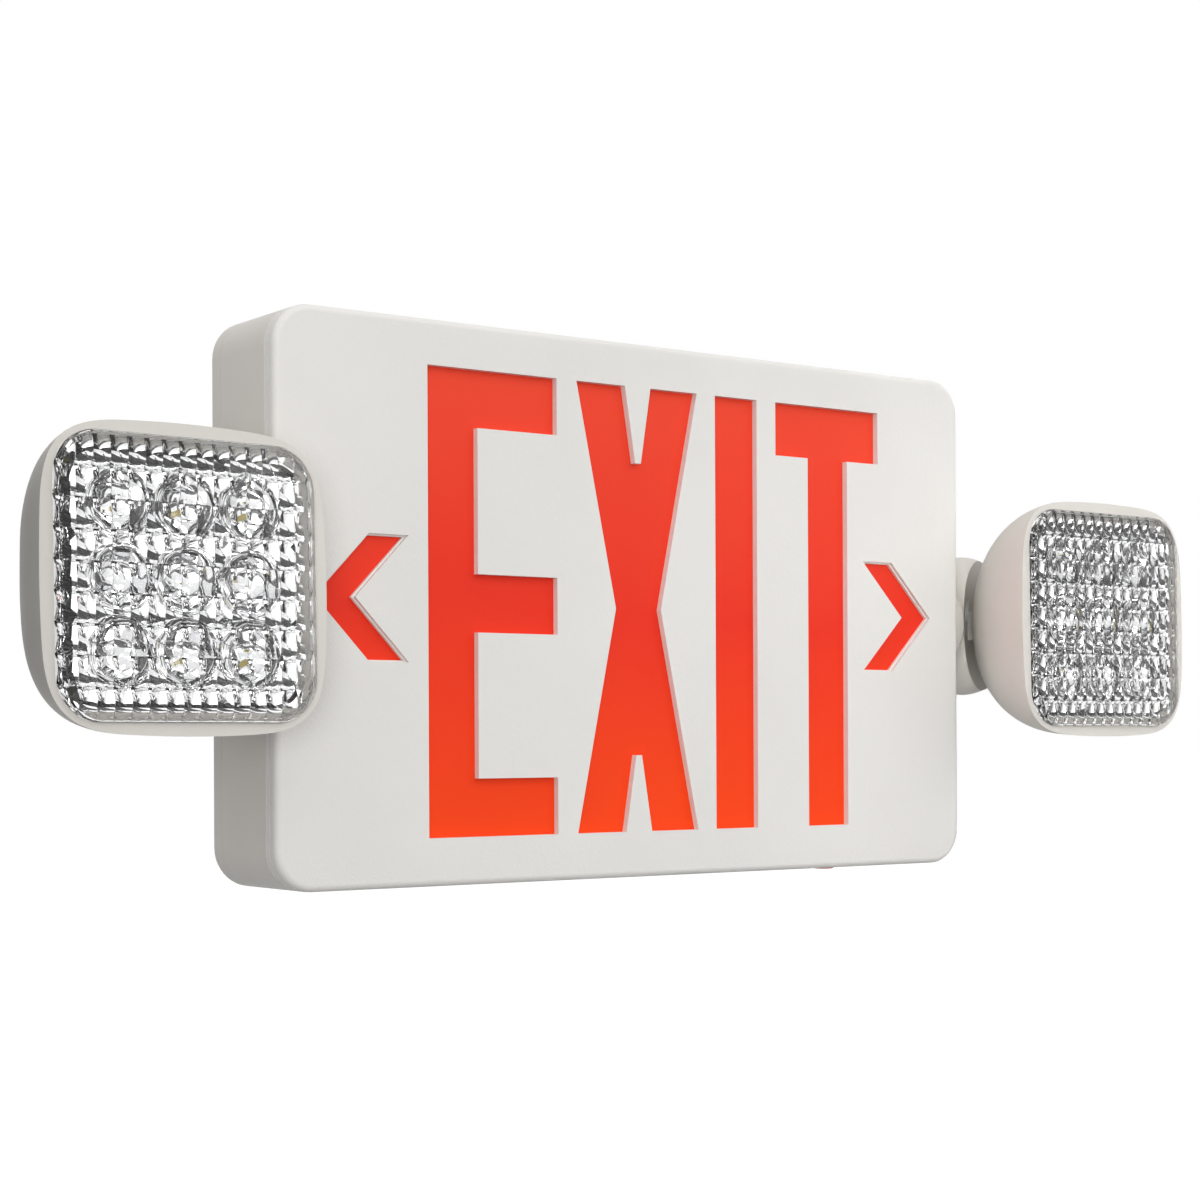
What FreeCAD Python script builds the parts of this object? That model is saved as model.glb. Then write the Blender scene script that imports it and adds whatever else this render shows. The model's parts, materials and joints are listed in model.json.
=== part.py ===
import FreeCAD, Part
import math
import os

# Wall-mounted emergency exit light: a slim housing with a stencil front cover,
# a red legend panel lit from inside, and a swivelling lamp head on each side.
# Millimetres.  Origin at the centre of the back face that lies on the wall,
# +X to the viewer's right, -Y out of the wall towards the viewer, +Z up.

V = FreeCAD.Vector

# ---------------------------------------------------------------- housing
WIDTH = 292.6
HEIGHT = 183.0
DEPTH = 43.0
CORNER = 13.0
WALL = 2.4
FRONT_EDGE = 2.2          # rounding of the front cover's edge
BACK_EDGE = 1.2           # rounding of the back plate's edge
BACK_DEPTH = 6.6          # depth of the back plate's tray
BACK_FLOOR = 2.2
COVER_DEPTH = 6.2         # depth of the front cover's visible skirt
SKIRT_GROOVE = 3.7        # shadow line round the cover, behind its face
GROOVE_SIZE = 0.5
FIT = 0.2                 # clearance between nested mouldings
LIP = 1.6                 # thickness of nested tongues
TONGUE = 5.5              # length of nested tongues
SEAM_CHAMFER = 0.35

# ---------------------------------------------------------------- legend
LETTER_HEIGHT = 152.4     # six inch letters with three quarter inch strokes
STROKE = 19.05
LETTER_LIFT = 0.3         # letters' centre above the face's centre
E_LEFT = -91.1
E_WIDTH = 50.6
X_LEFT = -32.4
X_WIDTH = 51.6
X_WAIST = 19.2
X_NOTCH = 26.2            # depth of the X's two notches
NOTCH_MOUTH = 11.0
NOTCH_TIP = 2.4
I_LEFT = 27.3
T_LEFT = 55.1
T_WIDTH = 49.6
ARROW_HEIGHT = 40.6
ARROW_REACH = 34.2        # from the arrow's tip to its tails
ARROW_BAND = 14.6
ARROW_TAIL_X = 98.4       # left arrow's tail edge from the centre
ARROW_RIGHT_TAIL_X = 97.0
ARROW_LIFT = 0.9
ARROW_STEP = 1.4          # depth of the knock-out's shallow front recess
ARROW_MEMBRANE = 0.6      # width of the ledge that the knock-out leaves

# ---------------------------------------------------------------- light box
PANEL_THICK = 1.6
TRAY_SIDE_GAP = 7.7       # from the housing's side to the reflector tray
TRAY_TOP_GAP = 6.9        # from the housing's top to the reflector tray
TRAY_CORNER = 8.0
TRAY_FOOT = 8.0           # square foot that each tray screw holds
TRAY_SCREW_INSET = 10.5   # from the housing's sides to the tray's screws
TRAY_WALL = 1.2
TRAY_BACK = 26.8          # depth of the tray's back face from the wall
STRIP_LENGTH = 236.0
STRIP_WIDTH = 7.0
BOARD_THICK = 1.6
STRIP_LED_COUNT = 10
STRIP_LED = 3.0
STRIP_LED_HIGH = 1.0

# ---------------------------------------------------------------- lamp arm
ARM_Y = -21.5             # arm axis, half way through the housing's depth
BOSS_R = 15.0
BOSS_REACH = 9.9
SPIGOT_R = 9.42
SPIGOT_FIT = 0.08
WIRE_R = 5.5
WIRE_EXIT_R = 3.0         # passage from the spigot's bore to the dome's hollow
ARM_GAP = 0.3
ARM_WALL = 2.4
WASHER_R = 12.6
WASHER_THICK = 1.6
CLIP_R = 12.0
CLIP_THICK = 1.2
CLIP_GROOVE = 1.0
SPIGOT_TAIL = 1.2

# ---------------------------------------------------------------- lamp head
PIVOT_X = 192.0           # swivel pin from the centre plane
PIVOT_Y = -51.3
HEAD_HALF_W = 46.0
HEAD_HALF_H = 44.3
HEAD_WALL = 2.2
RIM_Y = -23.5             # rim's front plane, from the pivot
LENS_Y = -25.7            # lens's front plane, from the pivot
DOME_LENGTH = 60.0        # from the lens's plane to the dome's tip
DOME_STATIONS = (-14.0, -4.0, 6.0, 15.0, 23.0, 29.0)   # depths where the dome is shaped
DOME_FLAT = 33.0          # where the dome's tip is cut flat
LENS_W = 83.2
LENS_H = 81.0
LENS_CORNER = 13.5
LENS_PLATE = 2.0
LENS_SKIRT = 1.6
LENS_EDGE = 1.0
LENS_FIT = 0.3
POCKET_DEPTH = 5.0
LEDGE = 2.0
WINDOW_W = 78.0
WINDOW_H = 75.8
FLUTE_COUNT = 13
FLUTE_DEPTH = 0.9
ROW_COUNT = 8
ROW_DEPTH = 1.3
OPTIC_PITCH = 21.0
OPTIC_FRONT_R = 10.2
OPTIC_REAR_R = 4.4
OPTIC_FRONT_Y = -21.2
OPTIC_WEB = 1.0
HEAD_BOARD_FRONT = -10.0
HEAD_LED = 3.0
HEAD_LED_HIGH = 0.8
HEAD_BOARD_W = 66.0
HEAD_BOARD_H = 64.0
BRACKET_THICK = 1.2
POST_X = 28.4
POST_Z = 27.4
POST_R = 3.2
SCREW_R = 1.25
SCREW_HEAD_R = 2.6
SCREW_HEAD = 1.4
PIN_R = 2.5
PIN_FIT = 0.08
EYE_R = 6.0
EYE_HALF = 5.5
STALK_WIDTH = 9.0
STALK_ANGLE = 30.0        # from the dome's axis towards the housing
SWING_IN = 7.0            # head's swing towards the sign, from straight ahead
SWING_OUT = 35.0
CRADLE_R = 53.5           # hollow that hugs the sweep of the turning dome, at mid height
CRADLE_HALF = 46.0
CRADLE_POWER = 2.6
CRADLE_OUT = 5.8          # hollow's axis beyond the pin, away from the sign
CRADLE_AHEAD = 18.3       # and in front of it
STALK_FOOT = 41.0         # from the pin to the stalk's root inside the neck

# Aim of each head: turn about the pin, then tilt about the arm (degrees).
LEFT_TURN = 3.9
LEFT_TILT = -1.6
RIGHT_TURN = 1.6
RIGHT_TILT = -0.8

# ---------------------------------------------------------------- inside
CELL_R = 7.2
CELL_LENGTH = 50.0
CELL_COUNT = 4
PACK_X = -88.0
PACK_Z = -8.0
BOARD_X = 76.0
BOARD_Z = -34.0
BOARD_W = 92.0
BOARD_H = 58.0
BOARD_GAP = 6.0           # standoff between the back plate and the board
CORE_X = 66.0
CORE_Z = 34.0
CORE_W = 42.0
CORE_H = 34.0
CORE_DEPTH = 15.0
COIL_BULGE = 1.9          # how far the winding stands out of its core
BUTTON_X = 96.0
BUTTON_R = 4.0
BUTTON_FIT = 0.3
BUTTON_PROUD = 1.6
BUTTON_TRAVEL = 2.0
PILOT_X = 78.0
PILOT_R = 2.5
PILOT_PROUD = 0.8
SWITCH_BOARD_LIFT = 9.0
CONDUIT_R = 11.0          # wire entry through the back plate
BOX_HOLE_SPACING = 88.9   # three and a half inch outlet box screws
BOX_HOLE_R = 2.3
KEYHOLE_X = 95.0
KEYHOLE_Z = 60.0
KEYHOLE_SLOT_R = 2.4
KEYHOLE_HEAD_R = 4.6
KEYHOLE_RISE = 8.0

half_w = WIDTH / 2
half_h = HEIGHT / 2
face_y = -DEPTH
cover_seam = -(DEPTH - COVER_DEPTH)
panel_front = face_y + WALL
panel_back = panel_front + PANEL_THICK
tray_side = half_w - TRAY_SIDE_GAP
tray_top = half_h - TRAY_TOP_GAP
nodes = {}


def box(x0, x1, y0, y1, z0, z1):
    return Part.makeBox(x1 - x0, y1 - y0, z1 - z0, V(x0, y0, z0))


def rod(radius, start, end):
    way = end - start
    return Part.makeCylinder(radius, way.Length, start, way)


def slab(w, h, corner, y0, y1):
    """Upright plate with rounded corners, w by h, from y0 back to y1."""
    a = w / 2
    b = h / 2
    c = corner
    k = c * math.sqrt(0.5)
    lines = []
    for sx, sz in ((1, 1), (-1, 1), (-1, -1), (1, -1)):
        centre = V(sx * (a - c), y0, sz * (b - c))
        along = V(centre.x, y0, sz * b)
        side = V(sx * a, y0, centre.z)
        mid = V(centre.x + sx * k, y0, centre.z + sz * k)
        first, last = (side, along) if sx * sz > 0 else (along, side)
        lines.append((first, mid, last))
    edges = []
    for i, (first, mid, last) in enumerate(lines):
        edges.append(Part.Arc(first, mid, last).toShape())
        edges.append(Part.makeLine(last, lines[(i + 1) % 4][0]))
    return Part.Face(Part.Wire(edges)).extrude(V(0, y1 - y0, 0))


def inset_slab(inset, y0, y1):
    """The housing's outline moved inwards by inset."""
    return slab(WIDTH - 2 * inset, HEIGHT - 2 * inset, CORNER - inset, y0, y1)


def ring(outer_inset, thick, y0, y1):
    inner = inset_slab(outer_inset + thick, y0 - 1, y1 + 1)
    return inset_slab(outer_inset, y0, y1).cut(inner)


def plate(points, y0, y1):
    """Upright plate cut to a polygon of (x, z) points."""
    corners = [V(x, y0, z) for x, z in points]
    return Part.Face(Part.makePolygon(corners + corners[:1])).extrude(V(0, y1 - y0, 0))


def edges_at(shape, y):
    near = 0.01
    return [e for e in shape.Edges
            if abs(e.BoundBox.YMin - y) < near and abs(e.BoundBox.YMax - y) < near]


def level_edges(shape, z, wider_than):
    return [e for e in shape.Edges
            if abs(e.BoundBox.Center.z - z) < 0.01 and e.BoundBox.XLength > wider_than]


def block(x, z, w, h, y0, y1):
    """Box given by its middle, width and height in the wall's plane and its two depths."""
    return box(x - w / 2, x + w / 2, min(y0, y1), max(y0, y1), z - h / 2, z + h / 2)


# ---------------------------------------------------------------- the legend
def legend_outlines():
    """The four letters' outlines as (x, z) polygons."""
    low = LETTER_LIFT - LETTER_HEIGHT / 2
    high = LETTER_LIFT + LETTER_HEIGHT / 2
    mid = LETTER_LIFT
    s = STROKE
    right = E_LEFT + E_WIDTH
    stem = E_LEFT + s
    letter_e = [
        (E_LEFT, low), (right, low), (right, low + s), (stem, low + s),
        (stem, mid - s / 2), (right, mid - s / 2), (right, mid + s / 2), (stem, mid + s / 2),
        (stem, high - s), (right, high - s), (right, high), (E_LEFT, high),
    ]
    cx = X_LEFT + X_WIDTH / 2
    letter_x = [
        (X_LEFT, low), (cx - NOTCH_MOUTH / 2, low), (cx - NOTCH_TIP / 2, low + X_NOTCH),
        (cx + NOTCH_TIP / 2, low + X_NOTCH), (cx + NOTCH_MOUTH / 2, low), (X_LEFT + X_WIDTH, low),
        (cx + X_WAIST / 2, mid), (X_LEFT + X_WIDTH, high), (cx + NOTCH_MOUTH / 2, high),
        (cx + NOTCH_TIP / 2, high - X_NOTCH), (cx - NOTCH_TIP / 2, high - X_NOTCH),
        (cx - NOTCH_MOUTH / 2, high), (X_LEFT, high), (cx - X_WAIST / 2, mid),
    ]
    letter_i = [(I_LEFT, low), (I_LEFT + s, low), (I_LEFT + s, high), (I_LEFT, high)]
    tx = T_LEFT + T_WIDTH / 2
    letter_t = [
        (tx - s / 2, low), (tx + s / 2, low), (tx + s / 2, high - s), (T_LEFT + T_WIDTH, high - s),
        (T_LEFT + T_WIDTH, high), (T_LEFT, high), (T_LEFT, high - s), (tx - s / 2, high - s),
    ]
    return [letter_e, letter_x, letter_i, letter_t]


def arrow_outline(tail_x, side, inset):
    """Chevron whose tip points to side (-1 left, +1 right), shrunk by inset."""
    rise = ARROW_HEIGHT / 2
    lean = ARROW_REACH - ARROW_BAND
    length = math.hypot(lean, rise)
    slope_shift = inset * length / rise
    cut = inset
    tip = ARROW_REACH - slope_shift
    inner = lean + slope_shift

    def on_line(start, z):
        return start - lean * abs(z) / rise

    top = rise - cut
    points = [
        (on_line(tip, top), top), (tip, 0), (on_line(tip, top), -top),
        (on_line(inner, top), -top), (inner, 0), (on_line(inner, top), top),
    ]
    return [(side * (tail_x + x), z + ARROW_LIFT) for x, z in points]


def arrow_tail(side):
    return ARROW_TAIL_X if side < 0 else ARROW_RIGHT_TAIL_X


# ---------------------------------------------------------------- housing shells
def make_front_cover():
    body = inset_slab(0, face_y, cover_seam - FIT)
    body = body.makeFillet(FRONT_EDGE, edges_at(body, face_y))
    inner = WALL + FIT + LIP
    body = body.cut(inset_slab(inner, panel_front, cover_seam + 1))
    tongue = ring(WALL + FIT, LIP, cover_seam - FIT - 0.01, cover_seam + TONGUE)
    notch_z = BOSS_R + 2
    for side in (-1, 1):
        edge = side * half_w
        relief = box(min(edge, edge - side * 8), max(edge, edge - side * 8),
                     cover_seam - FIT, cover_seam + TONGUE + 1, -notch_z, notch_z)
        tongue = tongue.cut(relief)
    body = body.fuse(tongue)
    groove_y = face_y + SKIRT_GROOVE
    groove = ring(-1, 1 + GROOVE_SIZE, groove_y, groove_y + GROOVE_SIZE)
    body = body.cut(groove)
    for outline in legend_outlines():
        body = body.cut(plate(outline, face_y - 1, panel_front + 1))
    for side in (-1, 1):
        tail = arrow_tail(side)
        body = body.cut(plate(arrow_outline(tail, side, 0), face_y - 1, face_y + ARROW_STEP))
        body = body.cut(plate(arrow_outline(tail, side, ARROW_MEMBRANE), face_y, panel_front + 1))
    return body.removeSplitter()


def make_legend_panel():
    half = WALL + FIT + LIP + FIT
    return inset_slab(half, panel_front, panel_back)


def make_housing_frame():
    body = ring(0, WALL, cover_seam, -BACK_DEPTH)
    seam = edges_at(body, cover_seam)
    outer = [e for e in seam if e.BoundBox.XMax > half_w - 0.01 or e.BoundBox.XMin < -half_w + 0.01
             or e.BoundBox.ZMax > half_h - 0.01 or e.BoundBox.ZMin < -half_h + 0.01]
    body = body.makeChamfer(SEAM_CHAMFER, outer)
    block = 15.0
    hollow = inset_slab(WALL - 0.1, -TRAY_BACK, -BACK_DEPTH - FIT - 2)
    for sx in (-1, 1):
        for sz in (-1, 1):
            x = sx * (half_w - block / 2)
            z = sz * (half_h - block / 2)
            corner = box(x - block / 2, x + block / 2, -TRAY_BACK, -BACK_DEPTH - 2.5,
                         z - block / 2, z + block / 2)
            body = body.fuse(corner.common(hollow))
    for sx in (-1, 1):
        start = V(sx * (half_w - WALL), ARM_Y, 0)
        end = V(sx * (half_w + BOSS_REACH), ARM_Y, 0)
        outer_boss = rod(BOSS_R, V(sx * (half_w - 0.5), ARM_Y, 0), end)
        outer_boss = outer_boss.makeFillet(0.8, [e for e in outer_boss.Edges
                                                 if abs(e.BoundBox.Center.x - end.x) < 0.01
                                                 and e.BoundBox.DiagonalLength > BOSS_R])
        body = body.fuse(outer_boss)
        body = body.cut(rod(SPIGOT_R + SPIGOT_FIT, start - V(sx, 0, 0), end + V(sx, 0, 0)))
    floor = -half_h
    for x, r in ((BUTTON_X, BUTTON_R + BUTTON_FIT), (PILOT_X, PILOT_R + 0.1)):
        body = body.cut(rod(r, V(x, ARM_Y, floor - 1), V(x, ARM_Y, floor + WALL + 1)))
    for x in switch_board_posts():
        post = rod(2.6, V(x, ARM_Y, floor + WALL - 0.1), V(x, ARM_Y, floor + WALL + SWITCH_BOARD_LIFT))
        body = body.fuse(post)
    for screw in tray_screw_points():
        mouth = V(screw[0], -TRAY_BACK - 1, screw[1])
        end = V(screw[0], -TRAY_BACK + 8, screw[1])
        body = body.cut(rod(SCREW_R, mouth, end))
    return body.removeSplitter()


def switch_board_posts():
    return (PILOT_X - 9.0, BUTTON_X + 11.0)


def tray_screw_points():
    x = half_w - TRAY_SCREW_INSET
    z = half_h - TRAY_SCREW_INSET
    return [(sx * x, sz * z) for sx in (-1, 1) for sz in (-1, 1)]


def keyhole(x, z):
    slot = rod(KEYHOLE_SLOT_R, V(x, -BACK_FLOOR - 1, z), V(x, 1, z))
    head = rod(KEYHOLE_HEAD_R, V(x, -BACK_FLOOR - 1, z - KEYHOLE_RISE), V(x, 1, z - KEYHOLE_RISE))
    neck = box(x - KEYHOLE_SLOT_R, x + KEYHOLE_SLOT_R, -BACK_FLOOR - 1, 1, z - KEYHOLE_RISE, z)
    return slot.fuse([head, neck])


def core_screw_points():
    return [(CORE_X + sx * (CORE_W / 2 + 6.5), CORE_Z) for sx in (-1, 1)]


def board_screw_points():
    x = BOARD_W / 2 - 4.5
    z = BOARD_H / 2 - 4.5
    return [(BOARD_X + sx * x, BOARD_Z + sz * z) for sx in (-1, 1) for sz in (-1, 1)]


def strap_screw_points():
    z = CELL_COUNT * CELL_R + 7.0
    return [(PACK_X, PACK_Z + sz * z) for sz in (-1, 1)]


def make_back_plate():
    body = inset_slab(0, -BACK_DEPTH + FIT, 0)
    body = body.makeFillet(BACK_EDGE, edges_at(body, 0))
    body = body.cut(inset_slab(WALL, -BACK_DEPTH, -BACK_FLOOR))
    tongue = ring(WALL + FIT, LIP, -BACK_DEPTH - 2.0, -BACK_FLOOR + 0.1)
    body = body.fuse(tongue)
    joint = ring(WALL - 0.1, FIT + 0.2, -BACK_DEPTH + FIT, -BACK_FLOOR)
    body = body.fuse(joint)
    seats = [(p, BOARD_GAP) for p in board_screw_points()]
    seats += [(p, 2.0) for p in core_screw_points()]
    seats += [(p, 3.0) for p in strap_screw_points()]
    for (x, z), tall in seats:
        body = body.fuse(rod(3.4, V(x, -BACK_FLOOR + 0.1, z), V(x, -BACK_FLOOR - tall, z)))
        body = body.cut(rod(SCREW_R, V(x, -BACK_FLOOR - tall - 1, z), V(x, -BACK_FLOOR + 0.9, z)))
    for sx in (-1, 1):
        x = PACK_X + sx * (CELL_LENGTH / 2 + 0.3 + 0.75)
        span = CELL_COUNT * CELL_R
        low = PACK_Z - span + 6
        high = PACK_Z + span - 6
        body = body.fuse(box(x - 0.75, x + 0.75, -BACK_FLOOR - 9, -BACK_FLOOR + 0.1, low, high))
    body = body.cut(rod(CONDUIT_R, V(0, -BACK_FLOOR - 1, 0), V(0, 1, 0)))
    for sx in (-1, 1):
        x = sx * BOX_HOLE_SPACING / 2
        body = body.cut(rod(BOX_HOLE_R, V(x, -BACK_FLOOR - 1, 0), V(x, 1, 0)))
        z = sx * BOX_HOLE_SPACING / 2
        body = body.cut(rod(BOX_HOLE_R, V(0, -BACK_FLOOR - 1, z), V(0, 1, z)))
        body = body.cut(keyhole(sx * KEYHOLE_X, KEYHOLE_Z))
    return body.removeSplitter()


# ---------------------------------------------------------------- light box
def make_reflector_tray():
    back = -TRAY_BACK
    floor = back - TRAY_WALL
    outline = slab(2 * tray_side, 2 * tray_top, TRAY_CORNER, panel_back, back)
    inner_corner = TRAY_CORNER - TRAY_WALL
    inner = slab(2 * (tray_side - TRAY_WALL), 2 * (tray_top - TRAY_WALL), inner_corner,
                 panel_back - 1, floor)
    body = outline.cut(inner)
    room = TRAY_FOOT + 0.8
    for x, z in tray_screw_points():
        out_x = x + math.copysign(12, x)
        out_z = z + math.copysign(12, z)
        recess = block(x, z, room + 2 * TRAY_WALL, room + 2 * TRAY_WALL, panel_back, back)
        pocket = block(x, z, room, room, panel_back - 1, floor)
        corner = block((x + out_x) / 2, (z + out_z) / 2, 12, 12, panel_back - 1, floor)
        body = body.fuse(recess.common(outline))
        body = body.cut(pocket.fuse(corner))
        body = body.fuse(block(x, z, TRAY_FOOT, TRAY_FOOT, floor, back))
        body = body.cut(rod(SCREW_R + 0.3, V(x, floor - 1, z), V(x, back + 1, z)))
    return body.removeSplitter()


def strip_z(side):
    return side * (tray_top - TRAY_WALL)


def strip_mid_y():
    return (panel_back - TRAY_BACK) / 2


def make_led_strip(side):
    y = strip_mid_y()
    outer = strip_z(side)
    inner = outer - side * BOARD_THICK
    return box(-STRIP_LENGTH / 2, STRIP_LENGTH / 2, y - STRIP_WIDTH / 2, y + STRIP_WIDTH / 2,
               min(outer, inner), max(outer, inner))


def make_strip_leds():
    y = strip_mid_y()
    step = STRIP_LENGTH / STRIP_LED_COUNT
    leds = []
    for side in (-1, 1):
        seat = strip_z(side) - side * BOARD_THICK
        tip = seat - side * STRIP_LED_HIGH
        for i in range(STRIP_LED_COUNT):
            x = (i + 0.5) * step - STRIP_LENGTH / 2
            leds.append(box(x - STRIP_LED / 2, x + STRIP_LED / 2, y - STRIP_LED / 2, y + STRIP_LED / 2,
                            min(seat, tip), max(seat, tip)))
    return Part.makeCompound(leds)


# ---------------------------------------------------------------- electronics
def board_y():
    return -BACK_FLOOR - BOARD_GAP


def make_charger_board():
    y = board_y()
    body = box(BOARD_X - BOARD_W / 2, BOARD_X + BOARD_W / 2, y - BOARD_THICK, y,
               BOARD_Z - BOARD_H / 2, BOARD_Z + BOARD_H / 2)
    for x, z in board_screw_points():
        body = body.cut(rod(SCREW_R + 0.3, V(x, y - BOARD_THICK - 1, z), V(x, y + 1, z)))
    return body


def on_board(x, z, w, h, tall):
    y = board_y() - BOARD_THICK
    cx = BOARD_X + x
    cz = BOARD_Z + z
    return box(cx - w / 2, cx + w / 2, y - tall, y, cz - h / 2, cz + h / 2)


def board_can(x, z, radius, tall):
    y = board_y() - BOARD_THICK
    return rod(radius, V(BOARD_X + x, y, BOARD_Z + z), V(BOARD_X + x, y - tall, BOARD_Z + z))


def make_capacitors():
    edge = 12.0 - BOARD_W / 2
    cans = [
        board_can(edge, 14, 5.0, 12.0),
        board_can(edge, 0, 5.0, 12.0),
        board_can(edge + 12, -16, 3.2, 9.0),
    ]
    return Part.makeCompound(cans)


def make_relay():
    return on_board(32.0 - BOARD_W / 2, 10, 15.5, 19.0, 13.0)


def make_heat_sink():
    """Folded plate that cools the power transistor."""
    y = board_y() - BOARD_THICK
    x = BOARD_X + BOARD_W / 2 - 38.0
    z = BOARD_Z - 14
    fin = box(x - 9, x + 9, y - 13, y, z, z + 1.5)
    foot = box(x - 9, x + 9, y - 1.5, y, z, z + 9)
    return fin.fuse(foot).removeSplitter()


def make_terminal_block():
    x = BOARD_W / 2 - 14.0
    body = on_board(x, 14, 9.0, 24.0, 10.0)
    y = board_y() - BOARD_THICK - 10.0
    for i in range(3):
        z = BOARD_Z + 14 + (i - 1) * 7.5
        body = body.cut(rod(2.2, V(BOARD_X + x, y - 1, z), V(BOARD_X + x, y + 3.0, z)))
        body = body.cut(box(BOARD_X + x - 2, BOARD_X + x + 8, y + 4.5, y + 8.5, z - 2.2, z + 2.2))
    return body


def make_lead_sockets():
    sockets = []
    low = 4.0 - BOARD_H / 2
    right = BOARD_W / 2
    for x, z in ((13.0 - right, low), (25.0 - right, low), (right - 38.0, -low), (right - 26.0, -low)):
        body = on_board(x, z, 8.0, 5.6, 7.0)
        face = board_y() - BOARD_THICK
        hollow = block(BOARD_X + x, BOARD_Z + z, 6.4, 4.0, face - 8, face - 2)
        sockets.append(body.cut(hollow))
    return Part.makeCompound(sockets)


def make_transformer():
    """Laminated core with its wound bobbin and a folded strap with two feet."""
    y = -BACK_FLOOR - 2.0
    core = block(CORE_X, CORE_Z, CORE_W, CORE_H, y - CORE_DEPTH, y)
    for sx in (-1, 1):
        x = CORE_X + sx * CORE_W / 4
        core = core.cut(block(x, CORE_Z, 9.0, 22.0, y - CORE_DEPTH - 1, y + 1))
    return core.removeSplitter()


def make_bobbin():
    y = -BACK_FLOOR - 2.0
    w = CORE_W / 2 + 8.6
    mid = y - CORE_DEPTH / 2
    deep = CORE_DEPTH / 2 + COIL_BULGE
    coil = block(CORE_X, CORE_Z, w, 21.2, mid - deep, mid + deep)
    limb = CORE_DEPTH / 2 + 0.1
    waist = CORE_W / 2 - 8.8
    return coil.cut(block(CORE_X, CORE_Z, waist, 24.0, mid - limb, mid + limb))


def make_transformer_strap():
    y = -BACK_FLOOR - 2.0
    t = 1.0
    top = y - CORE_DEPTH - COIL_BULGE - FIT - t
    x0 = CORE_X - CORE_W / 2
    x1 = CORE_X + CORE_W / 2
    z0 = CORE_Z - 4.0
    z1 = CORE_Z + 4.0
    body = box(x0 - t, x0, top, y, z0, z1)
    body = body.fuse(box(x1, x1 + t, top, y, z0, z1))
    body = body.fuse(box(x0 - t, x1 + t, top, top + t, z0, z1))
    for x, z in core_screw_points():
        inner = x0 if x < CORE_X else x1
        outer = x - 4.5 if x < CORE_X else x + 4.5
        body = body.fuse(box(min(inner, outer), max(inner, outer), y - t, y, z0, z1))
        body = body.cut(rod(SCREW_R + 0.3, V(x, y - t - 1, z), V(x, y + 1, z)))
    keep = box(x0, x1, top + t, y + 1, z0 - 1, z1 + 1)
    return body.cut(keep).removeSplitter()


def make_battery_pack():
    """Row of cells in a shrink sleeve."""
    y = -BACK_FLOOR - CELL_R
    z_span = (CELL_COUNT - 1) * CELL_R
    x0 = PACK_X - CELL_LENGTH / 2
    flat = CELL_R * 0.82
    body = box(x0, x0 + CELL_LENGTH, y - flat, y + flat, PACK_Z - z_span, PACK_Z + z_span)
    for i in range(CELL_COUNT):
        z = PACK_Z - z_span + 2 * CELL_R * i
        body = body.fuse(rod(CELL_R, V(x0, y, z), V(x0 + CELL_LENGTH, y, z)))
    return body.removeSplitter()


def make_battery_strap():
    t = 1.2
    reach = CELL_COUNT * CELL_R
    top = -BACK_FLOOR - 2 * CELL_R
    x0 = PACK_X - 5.0
    x1 = PACK_X + 5.0
    body = box(x0, x1, top - t, top, PACK_Z - reach - t - 0.2, PACK_Z + reach + t + 0.2)
    foot_y = -BACK_FLOOR - 3.0
    for sz in (-1, 1):
        wall = PACK_Z + sz * (reach + 0.2)
        out = wall + sz * t
        body = body.fuse(box(x0, x1, top - t, foot_y, min(wall, out), max(wall, out)))
        tip = PACK_Z + sz * (reach + 11.5)
        body = body.fuse(box(x0, x1, foot_y - t, foot_y, min(wall, tip), max(wall, tip)))
    for x, z in strap_screw_points():
        body = body.cut(rod(SCREW_R + 0.3, V(x, foot_y - t - 1, z), V(x, foot_y + 1, z)))
    return body.removeSplitter()


def screw(x, z, seat, long):
    """Pan head screw driven along +Y, its head in front of seat."""
    head = rod(SCREW_HEAD_R, V(x, seat - SCREW_HEAD, z), V(x, seat, z))
    shank = rod(SCREW_R, V(x, seat, z), V(x, seat + long, z))
    return head.fuse(shank)


def make_board_screws():
    front = board_y() - BOARD_THICK
    screws = [screw(x, z, front, BOARD_THICK + BOARD_GAP) for x, z in board_screw_points()]
    screws += [screw(x, z, -BACK_FLOOR - 3.0, 3.0) for x, z in core_screw_points()]
    screws += [screw(x, z, -BACK_FLOOR - 4.2, 4.0) for x, z in strap_screw_points()]
    return Part.makeCompound(screws)


def make_tray_screws():
    return Part.makeCompound([screw(x, z, -TRAY_BACK - TRAY_WALL, 7.0) for x, z in tray_screw_points()])


# ---------------------------------------------------------------- test button and pilot lamp
def switch_board_z():
    return -half_h + WALL + SWITCH_BOARD_LIFT


def make_switch_board():
    x0 = PILOT_X - 13.0
    x1 = BUTTON_X + 15.0
    z = switch_board_z()
    return box(x0, x1, ARM_Y - 4.4, ARM_Y + 4.4, z, z + 1.2)


def make_test_switch():
    z = switch_board_z()
    body = box(BUTTON_X - 3.1, BUTTON_X + 3.1, ARM_Y - 3.1, ARM_Y + 3.1, z - 3.4, z)
    plunger_end = -half_h + WALL + 1.3 + BUTTON_TRAVEL + 0.4
    plunger = rod(1.4, V(BUTTON_X, ARM_Y, z - 3.4), V(BUTTON_X, ARM_Y, plunger_end))
    return body.fuse(plunger).removeSplitter()


def make_test_button():
    low = -half_h - BUTTON_PROUD
    seat = -half_h + WALL + 0.1
    cap = rod(BUTTON_R, V(BUTTON_X, ARM_Y, low), V(BUTTON_X, ARM_Y, seat))
    rim = level_edges(cap, low, BUTTON_R)
    cap = cap.makeFillet(0.7, rim)
    flange = rod(BUTTON_R + 1.2, V(BUTTON_X, ARM_Y, seat), V(BUTTON_X, ARM_Y, seat + 1.2))
    return cap.fuse(flange).removeSplitter()


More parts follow.
